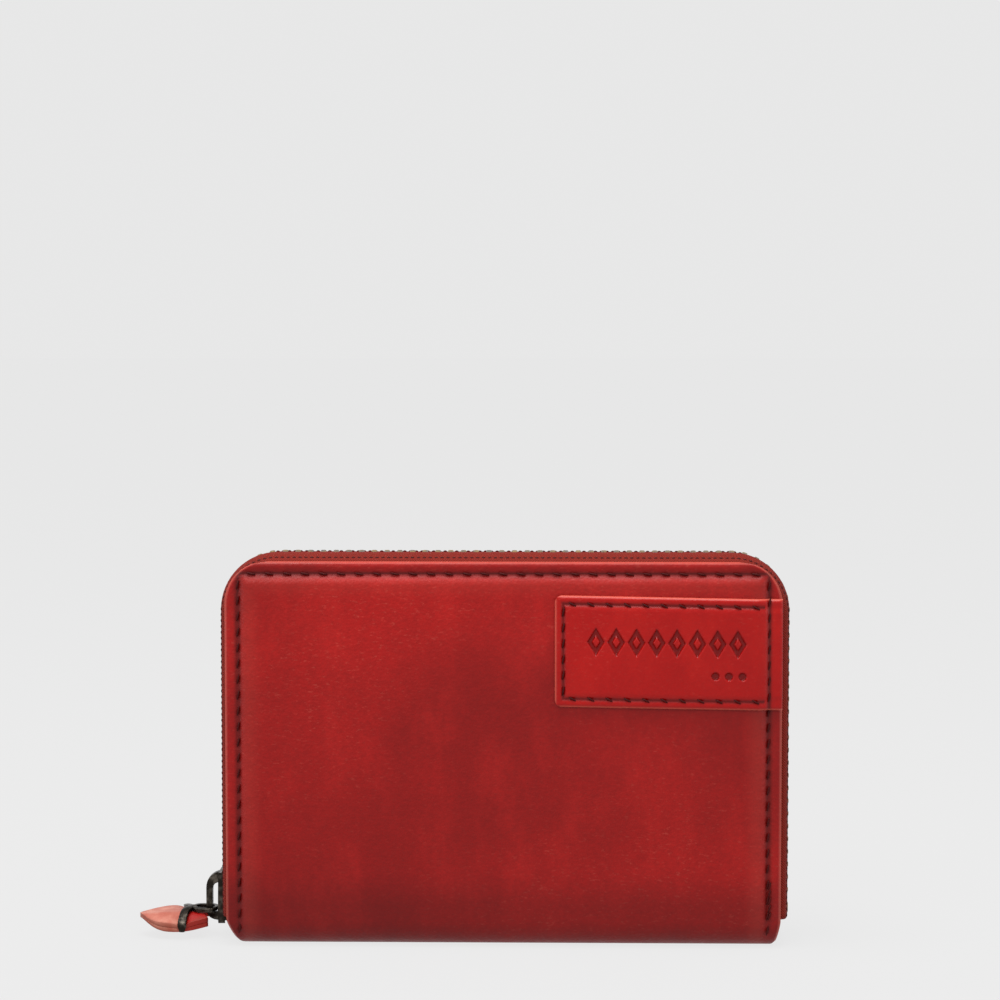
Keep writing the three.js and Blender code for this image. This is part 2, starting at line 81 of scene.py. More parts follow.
# ---------------------------------------------------------------------------
# Studio: a pale sweep that glows evenly, so it shows almost no shadow, one large soft light high in
# front, one overhead that catches the top edges, and a weak one from each side.

PALE = (0.807, 0.807, 0.807, 1)

world = bpy.data.worlds.new("studio")
world.use_nodes = True
world.node_tree.nodes["Background"].inputs["Color"].default_value = PALE
world.node_tree.nodes["Background"].inputs["Strength"].default_value = 0.995
scene.world = world


def soft_light(name, place, size, power, target=(0, 0, 0.04)):
    data = bpy.data.lights.new(name, "AREA")
    data.shape = "RECTANGLE"
    data.size, data.size_y = size
    data.energy = power
    light = bpy.data.objects.new(name, data)
    light.location = place
    aim_line = Vector(place) - Vector(target)
    light.rotation_euler = aim_line.to_track_quat("Z", "Y").to_euler()
    bpy.context.collection.objects.link(light)


soft_light("key", (-0.35, -0.75, 0.75), (0.5, 0.4), 2.9)
soft_light("overhead", (-0.05, -0.14, 0.8), (0.7, 0.35), 6.5)
soft_light("right_fill", (0.8, -0.4, 0.25), (0.3, 0.5), 0.9)
soft_light("left_fill", (-0.8, -0.3, 0.2), (0.3, 0.5), 0.9)

floor_mesh = bmesh.new()
bmesh.ops.create_grid(floor_mesh, x_segments=1, y_segments=1, size=6)
floor_data = bpy.data.meshes.new("floor")
floor_mesh.to_mesh(floor_data)
floor = bpy.data.objects.new("floor", floor_data)
bpy.context.collection.objects.link(floor)
sweep = bpy.data.materials.new("pale_sweep")
sweep.use_nodes = True
links = sweep.node_tree
glow = links.nodes.new("ShaderNodeEmission")
glow.inputs["Color"].default_value = PALE
chalk = links.nodes.new("ShaderNodeBsdfDiffuse")
chalk.inputs["Color"].default_value = (0.8, 0.8, 0.8, 1)
both = links.nodes.new("ShaderNodeMixShader")
both.inputs["Fac"].default_value = 0.05
links.links.new(glow.outputs[0], both.inputs[1])
links.links.new(chalk.outputs[0], both.inputs[2])
links.links.new(both.outputs[0], links.nodes["Material Output"].inputs["Surface"])
floor.data.materials.append(sweep)


# ---------------------------------------------------------------------------
# Hide: waxed pull-up cowhide, dyed red. It is one sheet on the real purse, round the spine from one
# cover to the other; here it is two halves that meet under the spine.
# The zip is sewn in round its edge, which pulls a groove, and the board inside fills the panel.


class Shade:
    """A socket of a material's nodes, so that sums on it add Math nodes."""

    def __init__(self, material, socket):
        self.material, self.socket = material, socket

    def maths(self, operation, first, second):
        return self.material.node("ShaderNodeMath", {"operation": operation}, first, second)

    def __add__(self, other):
        return self.maths("ADD", self, other)

    __radd__ = __add__

    def __mul__(self, other):
        return self.maths("MULTIPLY", self, other)

    __rmul__ = __mul__

    def __sub__(self, other):
        return self.maths("SUBTRACT", self, other)

    def __rsub__(self, other):
        return self.maths("SUBTRACT", other, self)


class Finish:
    """A material: constants are set on its shader, and whatever varies comes in through nodes."""

    def __init__(self, name, **constants):
        self.made = bpy.data.materials.new(name)
        self.made.use_nodes = True
        self.tree = self.made.node_tree
        self.shader = self.tree.nodes["Principled BSDF"]
        for socket, value in constants.items():
            self.shader.inputs[socket.replace("_", " ")].default_value = value

    def node(self, kind, settings, *values, out=0):
        made = self.tree.nodes.new(kind)
        for key, value in settings.items():
            if key == "stops":
                ramp = made.color_ramp.elements
                while len(ramp) < len(value):
                    ramp.new(0.5)
                for element, (place, colour) in zip(ramp, value):
                    element.position, element.color = place, colour
            else:
                setattr(made, key, value)
        for socket, value in zip(made.inputs, values):
            if isinstance(value, Shade):
                self.tree.links.new(value.socket, socket)
            elif value is not None:
                socket.default_value = value
        return Shade(self, made.outputs[out])

    def place(self):
        return self.node("ShaderNodeTexCoord", {}, out=3)

    def stretched(self, scale):
        return self.node("ShaderNodeMapping", {}, self.place(), (0, 0, 0), (0, 0, 0), scale)

    def noise(self, scale, detail=3.0, rough=0.55, at=None):
        return self.node(
            "ShaderNodeTexNoise", {}, at or self.place(), None, scale, detail, rough
        )

    def mark(self, name):
        return self.node("ShaderNodeAttribute", {"attribute_name": name}, out=2)

    def ramp(self, value, low, high, start=0.0, end=1.0):
        settings = {"interpolation_type": "SMOOTHSTEP"}
        return self.node("ShaderNodeMapRange", settings, value, low, high, start, end)

    def blend(self, factor, first, second):
        made = self.tree.nodes.new("ShaderNodeMix")
        made.data_type = "RGBA"
        for index, value in ((0, factor), (6, first), (7, second)):
            if isinstance(value, Shade):
                self.tree.links.new(value.socket, made.inputs[index])
            else:
                made.inputs[index].default_value = value
        return Shade(self, made.outputs[2])

    def bump(self, height, strength, depth):
        made = self.tree.nodes.new("ShaderNodeBump")
        made.inputs["Strength"].default_value = strength
        made.inputs["Distance"].default_value = depth
        self.tree.links.new(height.socket, made.inputs["Height"])
        self.feed("Normal", Shade(self, made.outputs[0]))

    def feed(self, socket, value):
        self.tree.links.new(value.socket, self.shader.inputs[socket])


def rgb(red, green, blue):
    """A colour named by its screen values, 0 to 255."""
    return tuple((c / 255) ** 2.2 for c in (red, green, blue)) + (1,)


RED = rgb(152, 17, 14)
LIGHT_RED = rgb(172, 28, 24)
DARK_RED = rgb(96, 8, 6)
# EDGE_PINK colours worn edges, painted highlights and pull-up crackle; DEEP_RED colours painted shade
# and the darker border.
EDGE_PINK = rgb(206, 104, 88)
DEEP_RED = rgb(58, 3, 3)


def red_hide(name, base, light, dark, gloss, grain):
    """Mottled waxed leather: patches, soft upright streaks, fine grain, wear along edges with a
    painted highlight, and painted shade.
    """
    hide = Finish(name, Coat_Weight=0.04, Coat_Roughness=0.3, Specular_IOR_Level=0.2)
    patches = hide.ramp(hide.noise(24, 3, 0.55), 0.34, 0.66)
    streaks = hide.ramp(hide.noise(90, 4, 0.6, hide.stretched((1.3, 1, 0.55))), 0.42, 0.74)
    specks = hide.ramp(hide.noise(900, 2, 0.6), 0.35, 0.7)
    colour = hide.blend(0.42 - 0.42 * patches, base, dark)
    colour = hide.blend(streaks * 0.4, colour, light)
    colour = hide.blend(specks * 0.18, colour, dark)
    crackle = hide.ramp(hide.noise(1500, 4, 0.7, hide.stretched((0.5, 1, 1.3))), 0.56, 0.7)
    colour = hide.blend(crackle * (0.03 + 0.15 * patches), colour, EDGE_PINK)
    # Painted shade: the per-point mark darkens towards DEEP_RED in stitch grooves, creases and pressed
    # marks, and on the covers towards their bottom and where they curve under; on the covers it also
    # carries the darker border outside the stitch line.
    colour = hide.blend(hide.mark("seam") * 0.85, colour, DEEP_RED)
    # Edges: real edge wear with a painted highlight on the rounded edges, lightened towards EDGE_PINK;
    # on the covers also a faint painted highlight along the crown of the filled panel.
    colour = hide.blend(hide.mark("wear"), colour, EDGE_PINK)
    hide.feed("Base Color", colour)
    pores = hide.node("ShaderNodeTexVoronoi", {"feature": "F1"}, hide.place(), None, 1500.0)
    creases = hide.noise(420, 5, 0.65)
    hide.feed("Roughness", gloss + 0.22 * creases + 0.08 * patches)
    hide.bump(pores * 0.5 + creases * 0.9, grain, 0.0003)
    return hide


hide_leather = red_hide("hide", RED, LIGHT_RED, DARK_RED, 0.30, 0.32)

hide_thickness = 0.0014
spine_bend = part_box("spine_leather")[1][2]
corner = 0.0095
hide_reach = {-1: 0.0005, 1: 0.0}  # how far its edge stands out past the board's edge, each side
foot_cut = {-1: 0.0026, 1: 0.0011}  # how far the spine's ends slant in, left and right
foot_round = {-1: 0.0016, 1: 0.0008}  # and how much more they round off underneath
foot_round_height = 0.0010
seam_in = {-1: 0.0025, 1: 0.0030}  # stitch line, in from the left and right edges
seam_top = 0.0027
stitch_top = 0.0040
stitch_side = 0.0035
puff = 0.0009  # how far the filled panel stands proud of the border
panel_crown = 0.0007  # and how much more it swells towards its middle
hide_waves = 0.00022
seam_pull = 0.00042  # how deep the stitching pulls its groove
darkest = 0.8  # outside the groove, how far the painted shade and the darker border can darken the hide

flat_half = -front_y - spine_bend
bend_length = spine_bend * math.pi / 2
half_length = flat_half + bend_length + purse_top - spine_bend


def wrapped(along, out=0.0):
    """A point at a length along the front half's outer face, from under the spine's middle to the
    top edge, and raised off that face. Returns depth (y) and height (z)."""
    if along < flat_half:
        return -along, -out
    if along < flat_half + bend_length:
        angle = (along - flat_half) / spine_bend
        reach = spine_bend + out
        return -flat_half - reach * math.sin(angle), spine_bend - reach * math.cos(angle)
    return front_y - out, spine_bend + along - flat_half - bend_length


def half_width(height, side):
    """The cover's half width at a height, on its left (-1) or right (1)."""
    edge = cover_half + hide_reach[side]
    if height > purse_top - corner:
        rise = min(height - (purse_top - corner), corner)
        return edge - corner + math.sqrt(corner**2 - rise**2)
    if height < spine_bend:
        slant = foot_cut[side] * (1 - height / spine_bend) ** 1.15
        past = max(0.0, 1 - height / foot_round_height)
        return edge - slant - foot_round[side] * (1 - math.sqrt(1 - past**2))
    return edge


def ease(value, low, high):
    t = min(1.0, max(0.0, (value - low) / (high - low)))
    return t * t * (3 - 2 * t)


def on_line(distance, width):
    """1 on a line, falling to 0 at about its width to each side."""
    return math.exp(-((distance / width) ** 2))


def over_edge(edge, roll):
    """0 until a point comes nearer to the edge than roll, growing to 1 on the edge."""
    return (max(0.0, roll - edge) / roll) ** 2


def seam_depth(x, z):
    """How far inside the stitch line a point is; it is negative in the border outside the line."""
    return min(cover_half - seam_in[-1] + x, cover_half - seam_in[1] - x, purse_top - seam_top - z)


def panel_swell(inside, z):
    return panel_crown * ease(inside, 0, 0.03) * ease(z, 0.004, 0.04)


def hide_rise(x, z, depth_sign):
    """How far the hide stands off its flat pattern: the filled panel and the rounded edge."""
    inside = seam_depth(x, z)
    run = x if purse_top - z < seam_top + 0.001 else z
    tick = 0.5 + 0.5 * math.cos(2 * math.pi * run / stitch_top)
    fill = ease(inside, -0.0002, 0.0022) * ease(z, 0.0, 0.012)
    rise = puff * fill * (1 - 0.22 * tick * math.exp(-abs(inside) / 0.0015))
    rise += panel_swell(inside, z)
    return rise + hide_waves * fill * noise.noise(Vector((x * 55, z * 40, 3.0 * depth_sign)))


def put_in_scene(name, bm, finish, smooth=True, **marks):
    """Makes a piece of a mesh. Each mark is a value per point, which its finish reads by name."""
    mesh = bpy.data.meshes.new(name)
    bm.to_mesh(mesh)
    bm.free()
    for face in mesh.polygons:
        face.use_smooth = smooth
    for mark, values in marks.items():
        layer = mesh.attributes.new(mark, "FLOAT", "POINT")
        layer.data.foreach_set("value", values)
    made = bpy.data.objects.new(name, mesh)
    bpy.context.collection.objects.link(made)
    made.data.materials.append(finish.made)
    return made


def thicken(piece, thickness, offset=-1.0):
    made = piece.modifiers.new("thickness", "SOLIDIFY")
    made.thickness = thickness
    made.offset = offset


def bend_with(piece):
    """Bakes the piece's placement into its points. The hide's bend at the foot of a cover is where it
    gives when the cover opens; the piece is not made to move with the cover.
    """
    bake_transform(piece)


def hide_half(name, depth_sign):
    """Half the hide. depth_sign is 1 in front and -1 behind, where the shape is mirrored."""
    bm = bmesh.new()
    bmesh.ops.create_grid(bm, x_segments=190, y_segments=148, size=0.5)
    seam, wear = [], []
    for v in bm.verts:
        along = (v.co.y + 0.5) * half_length
        side = -1 if v.co.x < 0 else 1
        z = wrapped(along)[1]
        x = 2 * v.co.x * half_width(z, side)
        inside = seam_depth(x, z)
        edge = min(half_width(z, side) - abs(x), purse_top - z)
        groove = on_line(inside, 0.0006) * ease(z, 0.001, 0.004)
        rise = hide_rise(x, z, depth_sign) - seam_pull * groove
        rise -= 0.0005 * over_edge(edge, 0.0005)
        y, z = wrapped(along, rise)
        v.co = (x, y * depth_sign, z)
        # Painted shade: darker towards the bottom of the cover, from the overhead light, and darker
        # still where the hide curves under towards the spine.
        lower_shade = 0.2 * ease(0.074 - z, 0, 0.020)
        underside_shade = 0.36 * ease(0.019 - z, 0, 0.010) + 0.15 * ease(0.006 - z, 0, 0.005)
        # The border outside the stitch line is darker, most along the top.
        top_border = 0.03 + 0.27 * ease(z, purse_top - 0.008, purse_top - 0.003)
        border = top_border * ease(-inside, 0, 0.0006) * ease(edge, 0.0003, 0.0009)
        seam.append(max(groove, min(darkest, lower_shade + underside_shade + border)))
        # Painted highlight along the crown of the filled panel, just inside the stitch line; the edge
        # term is edge wear with a painted highlight.
        crown = ease(inside, 0, 0.002) * ease(0.006 - inside, 0, 0.004)
        wear.append(0.42 * ease(0.0005 - edge, 0, 0.0004) + 0.05 * crown)
    if depth_sign < 0:
        bmesh.ops.reverse_faces(bm, faces=bm.faces)
    piece = put_in_scene(name, bm, hide_leather, seam=seam, wear=wear)
    thicken(piece, hide_thickness)
    bend_with(piece)
    return piece


front_hide = hide_half("front_hide", 1)
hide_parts("front_cover_leather", "spine_leather")
back_hide = hide_half("back_hide", -1)
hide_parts("back_cover_leather")


# ---------------------------------------------------------------------------
# Cover stitching: waxed thread, dark maroon, one row round each cover a little way in from the edge.
# Each stitch is a short slanted bead that sinks into the groove at both ends.

thread = Finish("thread", Roughness=0.6, Specular_IOR_Level=0.15)
thread.feed("Base Color", thread.blend(thread.noise(2500, 2), rgb(38, 3, 3), rgb(80, 12, 10)))
thread.bump(thread.noise(6000, 1), 0.4, 0.0001)

thread_radius = 0.00024
stitch_length = 0.0023


def add_stitch(bm, place, run, out, length=stitch_length, slant=-0.2):
    """One stitch: a long bead lying along run, turned a little about out."""
    run = (Matrix.Rotation(slant, 3, out) @ run).normalized()
    side = out.cross(run)
    turn_to = Matrix((run, side, out)).transposed().to_4x4()
    shape = Matrix.Diagonal((length / 2, thread_radius, thread_radius * 1.25, 1))
    move = Matrix.Translation(place) @ turn_to @ shape
    bmesh.ops.create_uvsphere(bm, u_segments=8, v_segments=6, radius=1, matrix=move)


def evenly(first, last, pitch):
    """Middles of the stitches that fill a row from first to last."""
    count = max(1, round(abs(last - first) / pitch))
    return [first + (last - first) * (i + 0.5) / count for i in range(count)]


def along_at(z):
    """Length along the hide's face, from under the spine, of a height above the bend."""
    return flat_half + bend_length + z - spine_bend


label_low, label_high = (Vector(c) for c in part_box("label_patch"))
label_thickness = 0.00115


def cover_stitches(name, depth_sign):
    bm = bmesh.new()
    out = Vector((0, -depth_sign, 0))
    sink = 0.00008
    left, right = -cover_half + seam_in[-1], cover_half - seam_in[1]
    top = purse_top - seam_top
    for x in evenly(left + 0.001, right - 0.001, stitch_top):
        y = wrapped(along_at(top), sink)[0] * depth_sign
        add_stitch(bm, Vector((x, y, top)), Vector((1, 0, 0)), out)
    for x in (left, right):
        for z in evenly(0.0022, top - 0.0008, stitch_side):
            under = depth_sign > 0 and x > 0 and label_low.z < z < label_high.z
            y = wrapped(along_at(z), sink + (label_thickness if under else 0))[0]
            if z < spine_bend:
                y = -flat_half - math.sqrt(spine_bend**2 - (spine_bend - z) ** 2)
            add_stitch(bm, Vector((x, y * depth_sign, z)), Vector((0, 0, 1)), out)
    for i in range(5):  # the thread is sewn over itself where the row ends
        z = 0.0075 + i * 0.0017
        y = wrapped(along_at(z), sink * 3)[0] * depth_sign
        add_stitch(bm, Vector((right + 0.0004, y, z)), Vector((0, 0, 1)), out, 0.002, -0.3)
    piece = put_in_scene(name, bm, thread)
    bend_with(piece)


cover_stitches("front_cover_stitches", 1)
cover_stitches("back_cover_stitches", -1)


# ---------------------------------------------------------------------------
# Label: a patch of smooth glossy leather, sewn down round three sides and caught under the cover's
# own stitch line on the right. A row of plain lozenges and three dots are pressed into it.

label_leather = red_hide(
    "label_hide", rgb(158, 13, 9), rgb(170, 25, 17), rgb(128, 8, 6), 0.20, 0.16
)
label_lean = math.radians(1.0)
label_seam = 0.0019
label_corner = 0.0017
lozenge_pitch = 0.0045
lozenge_count = 8
lozenge_half = (0.0019, 0.0031)
lozenge_row = Vector((0.0362, 0, label_high.z - 0.0102))
dot_row = Vector((0.0500, 0, label_high.z - 0.0174))
dot_pitch = 0.0030
dot_radius = 0.0009
label_middle = (label_low.x + label_high.x) / 2
label_roll = 0.0008
press_depth = 0.0006
thread_sunk = 0.00005
label_stitch = 0.0020
label_slant = -0.5


def label_press(x, z):
    """How deep the stamp has pressed the label, from 0 to 1."""
    depth = 0.0
    for i in range(lozenge_count):
        middle = lozenge_row.x + (i - (lozenge_count - 1) / 2) * lozenge_pitch
        reach = abs(x - middle) / lozenge_half[0] + abs(z - lozenge_row.z) / lozenge_half[1]
        depth = max(depth, ease(1.08 - reach, 0, 0.16) * (1 - ease(0.52 - reach, 0, 0.16)))
    for i in (-1, 0, 1):
        away = math.hypot(x - dot_row.x - i * dot_pitch, z - dot_row.z)
        depth = max(depth, ease(dot_radius - away, -0.0001, 0.0002))
    return depth


def label_rise(x, z):
    inside = seam_depth(x, z)
    fill = ease(inside, -0.001, 0.003)
    return puff * fill + panel_swell(inside, z) + label_thickness


def leaned(x, z):
    return z - (x - label_middle) * math.tan(label_lean)


bm = bmesh.new()
bmesh.ops.create_grid(bm, x_segments=256, y_segments=126, size=0.5)
seam, wear = [], []
for v in bm.verts:
    x = label_middle + v.co.x * (label_high.x - label_low.x)
    z = (label_low.z + label_high.z) / 2 + v.co.y * (label_high.z - label_low.z)
    from_left = x - label_low.x
    from_end = min(label_high.z - z, z - label_low.z)
    if from_left < label_corner and from_end < label_corner:
        across = 1 - from_left / label_corner
        along = 1 - from_end / label_corner
        x += label_corner * across * (1 - math.sqrt(1 - along**2 / 2))
        shift = label_corner * along * (1 - math.sqrt(1 - across**2 / 2))
        z += -shift if z > (label_low.z + label_high.z) / 2 else shift
    edge = min(x - label_low.x, label_high.z - z, z - label_low.z)
    groove = on_line(edge - label_seam, 0.0004)
    if x > cover_half - seam_in[1] - 0.001:
        groove = 0.0
    side_seam = on_line(x - cover_half + seam_in[1], 0.0005)
    press = label_press(x, z)
    rise = label_rise(x, z) - 0.0003 * groove - 0.0003 * side_seam - press_depth * press
    rise += 0.00018 * ease(edge, label_seam, label_seam + 0.0015)
    rise -= 0.0006 * over_edge(edge, label_roll) + 0.0005 * over_edge(label_high.x - x, label_roll)
    v.co = (x, front_y - rise, leaned(x, z))
    # Painted shade in the stitch grooves and in the pressed lozenges and dots.
    seam.append(max(0.8 * groove, 0.9 * side_seam, 0.55 * press))
    wear.append(0.55 * ease(0.0005 - edge, 0, 0.0004))
label = put_in_scene("label", bm, label_leather, seam=seam, wear=wear)
thicken(label, label_thickness)
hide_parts("label_patch")
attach(label, "front")

bm = bmesh.new()
row_left = label_low.x + label_seam
row_right = cover_half - seam_in[1] - 0.001
out = Vector((0, -1, 0))
for x in evenly(row_left, row_right, stitch_top):
    for z in (label_high.z - label_seam, label_low.z + label_seam):
        y = front_y - label_rise(x, z) + thread_sunk
        add_stitch(bm, Vector((x, y, leaned(x, z))), Vector((1, 0, 0)), out, label_stitch, label_slant)
for z in evenly(label_low.z + label_seam, label_high.z - label_seam, stitch_side):
    y = front_y - label_rise(row_left, z) + thread_sunk
    add_stitch(bm, Vector((row_left, y, leaned(row_left, z))), Vector((0, 0, 1)), out)
label_stitches = put_in_scene("label_stitches", bm, thread)
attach(label_stitches, "front")


# ---------------------------------------------------------------------------
# Zip tape: woven cotton tape in two halves. Each is sewn in under its cover's edge, turns out over
# the edge and stands as a soft wall up to the teeth.

zip_cloth = Finish("zip_tape", Roughness=0.85, Specular_IOR_Level=0.2)
weave_place = zip_cloth.node("ShaderNodeUVMap", {})
twill = zip_cloth.node(
    "ShaderNodeTexWave", {"wave_type": "BANDS", "bands_direction": "DIAGONAL"},
    weave_place, 1.1, 0.4, 1.0,
)
ribs = zip_cloth.node(
    "ShaderNodeTexWave", {"wave_type": "BANDS", "bands_direction": "X"},
    weave_place, 0.55, 0.2, 1.0,
)
soiled = zip_cloth.noise(220, 4)
tape_colour = zip_cloth.blend(twill, rgb(84, 16, 12), rgb(142, 40, 24))
zip_cloth.feed("Base Color", zip_cloth.blend(soiled * 0.5, tape_colour, rgb(100, 24, 16)))
zip_cloth.bump(twill + ribs * 0.6, 0.6, 0.00025)


def cloth_grid(columns, rows, width, length):
    """A flat sheet to bend: its points run from -0.5 to 0.5, and its UV map is in millimetres."""
    bm = bmesh.new()
    bmesh.ops.create_grid(bm, x_segments=columns, y_segments=rows, size=0.5)
    uv = bm.loops.layers.uv.new("UVMap")
    for face in bm.faces:
        for loop in face.loops:
            across, along = loop.vert.co.x + 0.5, loop.vert.co.y + 0.5
            loop[uv].uv = (across * width * 1000, along * length * 1000)
    return bm


tape_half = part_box("front_zip_tape")[1][0]
tape_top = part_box("front_zip_tape")[1][2]
tape_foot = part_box("front_zip_tape")[0][2]
zip_corner = 0.0125  # the zip is stiff, so it takes the corners wider than the covers do
arc_length = zip_corner * math.pi / 2
side_run = tape_top - zip_corner - tape_foot
top_run = 2 * (tape_half - zip_corner)
tape_length = 2 * side_run + 2 * arc_length + top_run


def round_zip(run, out):
    """A point at a length round the zip, from the left foot over the top to the right foot, raised
    off the tape's outer face. Returns x, z and the direction that faces outwards."""
    if run > tape_length / 2:
        x, z, away = round_zip(tape_length - run, out)
        return -x, z, Vector((-away.x, 0, away.z))
    if run < side_run:
        return -tape_half - out, tape_foot + run, Vector((-1, 0, 0))
    if run < side_run + arc_length:
        angle = (run - side_run) / zip_corner
        away = Vector((-math.cos(angle), 0, math.sin(angle)))
        reach = zip_corner + out
        x = -tape_half + zip_corner + away.x * reach
        return x, tape_top - zip_corner + away.z * reach, away
    x = -tape_half + zip_corner + run - side_run - arc_length
    return x, tape_top + out, Vector((0, 0, 1))


wall_edge = 0.0021  # where the tape's free edge lies under the teeth
tape_sunk = 0.00035  # the cloth's middle lies this far inside the tape's outer face
tape_cloth = 0.0006
turn_start = 0.0088
turn_radius = 0.00165
sewn_in = 0.0036
wall_width = turn_start - wall_edge
tape_width = wall_width + turn_radius * math.pi / 2 + sewn_in
tape_stitches = 210
tape_stitch = 0.0009
tape_thread_out = 0.00028
tape_sewn_at = wall_width - 0.0001


def tape_section(width, bulge):
    """Where the tape lies at a width from its free edge: raised off the wall, and its depth."""
    if width < wall_width:
        bow = math.sin(math.pi * width / wall_width)
        return -tape_sunk + bulge * bow, wall_edge + width
    turned = (width - wall_width) / turn_radius
    if turned < math.pi / 2:
        drop = turn_radius * (1 - math.cos(turned))
        return -tape_sunk - drop, turn_start + turn_radius * math.sin(turned)
    return -tape_sunk - turn_radius - (width - tape_width + sewn_in), turn_start + turn_radius


def tape_bulge(run, depth_sign):
    """How far the wall bows out: along the top the front half stands proud and the back sinks."""
    along_top = 0.0006 if depth_sign > 0 else -0.0009
    return 0.0005 + along_top * round_zip(run, 0)[2].z


def zip_tape(name, depth_sign, body, node):
    bm = cloth_grid(240, 30, tape_length, tape_width)
    for v in bm.verts:
        run = (v.co.x + 0.5) * tape_length
        raised, depth = tape_section((v.co.y + 0.5) * tape_width, tape_bulge(run, depth_sign))
        x, z, away = round_zip(run, raised)
        v.co = (x, -depth * depth_sign, z)
    if depth_sign > 0:
        bmesh.ops.reverse_faces(bm, faces=bm.faces)
    piece = put_in_scene(name, bm, zip_cloth)
    thicken(piece, tape_cloth, 0)
    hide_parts(node)
    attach(piece, body)
    bm = bmesh.new()
    for i in range(tape_stitches):
        run = tape_length * (i + 0.5) / tape_stitches
        raised = tape_section(tape_sewn_at, tape_bulge(run, depth_sign))[0] + tape_thread_out
        x, z, away = round_zip(run, raised)
        place = Vector((x, -(wall_edge + tape_sewn_at) * depth_sign, z))
        add_stitch(bm, place, away.cross(Vector((0, 1, 0))), away, tape_stitch, 0)
    row = put_in_scene(name + "_stitches", bm, thread)
    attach(row, body)


zip_tape("front_tape", 1, "front", "front_zip_tape")
zip_tape("back_tape", -1, "back", "back_zip_tape")


# ---------------------------------------------------------------------------
# Zip teeth: stamped brass with a dark antique finish. Each tooth is clamped on the tape's edge and
# its head reaches between two teeth of the other row, half a pitch along.

brass = Finish("antique_brass", Metallic=0.9)
tarnish = brass.ramp(brass.noise(700, 4, 0.6), 0.35, 0.65)
brass.feed("Base Color", brass.blend(tarnish, rgb(60, 48, 30), rgb(150, 124, 78)))
brass.feed("Roughness", 0.28 + 0.3 * tarnish)
brass.bump(brass.noise(3000, 2), 0.15, 0.0001)

tooth_pitch = 0.0029
tooth_size = (0.00132, 0.0035, 0.0023)
tooth_overlap = 0.0004  # how far a tooth's head reaches past the chain's middle
row_end = 0.0034  # from the last tooth to the tape's end


def tooth_shape(size):
    """A tooth lying along Y: clamped part at -Y, narrower head at +Y."""
    bm = bmesh.new()
    bmesh.ops.create_cube(bm, size=1)
    bmesh.ops.scale(bm, vec=size, verts=bm.verts)
    bmesh.ops.bevel(
        bm, geom=list(bm.edges), offset=min(size) * 0.24, affect="EDGES", segments=2,
        profile=0.5, material=-1,
    )
    for v in bm.verts:
        if v.co.y > 0:
            v.co.x *= 0.86
            v.co.z *= 0.72
    shape = bpy.data.meshes.new("tooth_shape")
    bm.to_mesh(shape)
    bm.free()
    return shape


tooth = tooth_shape(tooth_size)


def add_copy(bm, shape, place):
    """Adds a copy of a mesh at a place, given as a matrix."""
    start = len(bm.verts)
    bm.from_mesh(shape)
    bm.verts.ensure_lookup_table()
    bmesh.ops.transform(bm, matrix=place, verts=bm.verts[start:])


def zip_teeth(name, depth_sign, body, node):
    bm = bmesh.new()
    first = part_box(node)[0][2] - tape_foot + tooth_pitch * (0.3 if depth_sign > 0 else 0.8)
    last = tape_length - row_end
    middle = (tooth_size[1] / 2 - tooth_overlap) * depth_sign
    for i in range(int((last - first) / tooth_pitch) + 1):
        x, z, away = round_zip(first + i * tooth_pitch, -tape_sunk)
        inward = Vector((0, depth_sign, 0))
        turn_to = Matrix((inward.cross(away), inward, away)).transposed().to_4x4()
        add_copy(bm, tooth, Matrix.Translation((x, -middle, z)) @ turn_to)
    piece = put_in_scene(name, bm, brass)
    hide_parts(node)
    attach(piece, body)


zip_teeth("front_teeth", 1, "front", "front_zip_teeth")
zip_teeth("back_teeth", -1, "back", "back_zip_teeth")


# ---------------------------------------------------------------------------
# Stops, sliders and the coin zip's tab: stamped and cast metal with rounded edges. Each is made from
# its solid, with the flat faces joined up and every edge rolled over.


def rolled(name, node, body, finish, roll, cuts=(), shape=None):
    """A piece with the shape of a node and rounded edges. It may first be cut across at heights
    and have its points moved by shape."""
    bm = bmesh.new()
    bm.from_mesh(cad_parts[node].data)
    bmesh.ops.remove_doubles(bm, verts=bm.verts, dist=1e-5)
    bmesh.ops.dissolve_limit(
        bm, angle_limit=math.radians(2), verts=bm.verts, edges=bm.edges, use_dissolve_boundaries=False
    )
    for height in cuts:
        everything = [*bm.verts, *bm.edges, *bm.faces]
        bmesh.ops.bisect_plane(bm, geom=everything, plane_co=(0, 0, height), plane_no=(0, 0, 1))
    for v in bm.verts if shape else ():
        v.co = shape(v.co)
    sharp = [e for e in bm.edges if e.is_manifold and e.calc_face_angle(0) > math.radians(30)]
    bmesh.ops.bevel(
        bm, geom=sharp, offset=roll, affect="EDGES", segments=2, profile=0.5, material=-1,
        clamp_overlap=True,
    )
    piece = put_in_scene(name, bm, finish)
    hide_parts(node)
    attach(piece, body)
    return piece


gunmetal = Finish("gunmetal", Metallic=1.0)
rubbed = gunmetal.ramp(gunmetal.noise(500, 4, 0.6), 0.45, 0.75)
gunmetal.feed("Base Color", gunmetal.blend(rubbed, rgb(44, 40, 36), rgb(98, 92, 84)))
gunmetal.feed("Roughness", 0.3 + 0.2 * rubbed)
gunmetal.bump(gunmetal.noise(2500, 2), 0.12, 0.0001)

rolled("front_end_stop", "front_zip_end_stop", "front", brass, 0.0003)
rolled("back_end_stop", "back_zip_end_stop", "back", brass, 0.0003)

slider_low, slider_high = (Vector(c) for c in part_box("slider_body"))
slider_rim = slider_high.y - 0.0008
slider_corner = 0.0022
slider_waist = 0.0006


